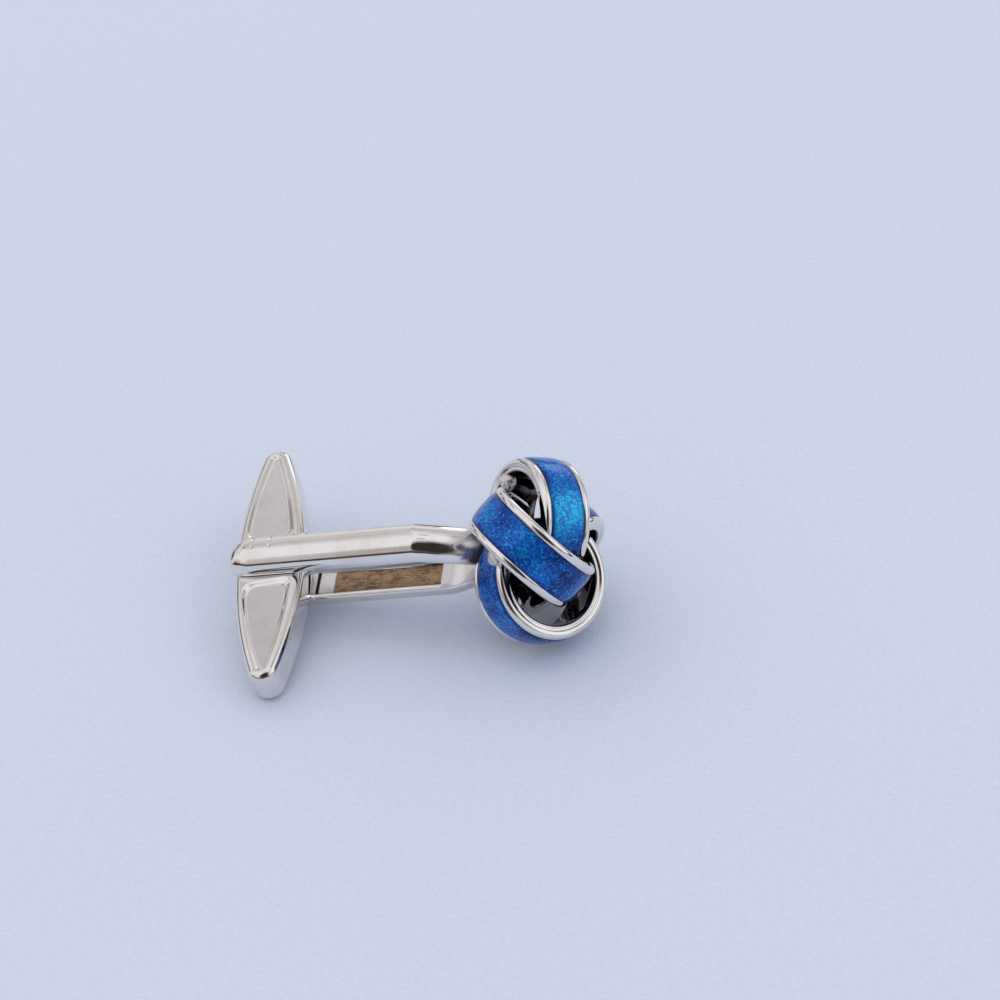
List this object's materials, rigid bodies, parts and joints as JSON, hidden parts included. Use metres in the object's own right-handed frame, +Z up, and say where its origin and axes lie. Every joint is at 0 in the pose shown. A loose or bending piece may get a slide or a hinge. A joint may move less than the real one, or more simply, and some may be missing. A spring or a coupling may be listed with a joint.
{
  "type": "cufflink",
  "caption": "Swivel-back cufflink: a love knot of enamelled bands on a forked stem, with a leaf-shaped toggle bar that turns in line with the stem to pass a buttonhole.",
  "frame": {"origin": "under the middle of the part's box, on the table it rests on", "axes": "+X from the toggle bar to the knot as seen from above, +Y along the toggle bar to its raised tip, +Z up; the stem itself rises towards the knot"},
  "size_m": [0.0248, 0.0198, 0.0112],
  "materials": {
    "plating": "polished",
    "enamel": "glossy",
    "solder": "rough",
    "spring": "brushed",
    "steel": "turned"
  },
  "bodies": {
    "stem": {"knot_band_1": "plating", "knot_band_2": "plating", "knot_band_3": "plating", "knot_band_4": "plating", "enamel_inlay_1": "enamel", "enamel_inlay_2": "enamel", "enamel_inlay_3": "enamel", "enamel_inlay_4": "enamel", "knot_core": "plating", "solder_beads": "solder", "upper_arm": "plating", "lower_arm": "plating", "detent_spring": "spring", "pivot_pin": "steel"},
    "toggle": {"toggle_bar": "plating"}
  },
  "joints": [
    {"name": "toggle_swivel", "type": "hinge", "parent": "stem", "child": "toggle", "pos_m": [-0.01023, -0.00006, 0.00297], "axis": [-0.1383, -0.2031, 0.9693], "range_deg": [-96.2, 83.8]}
  ]
}
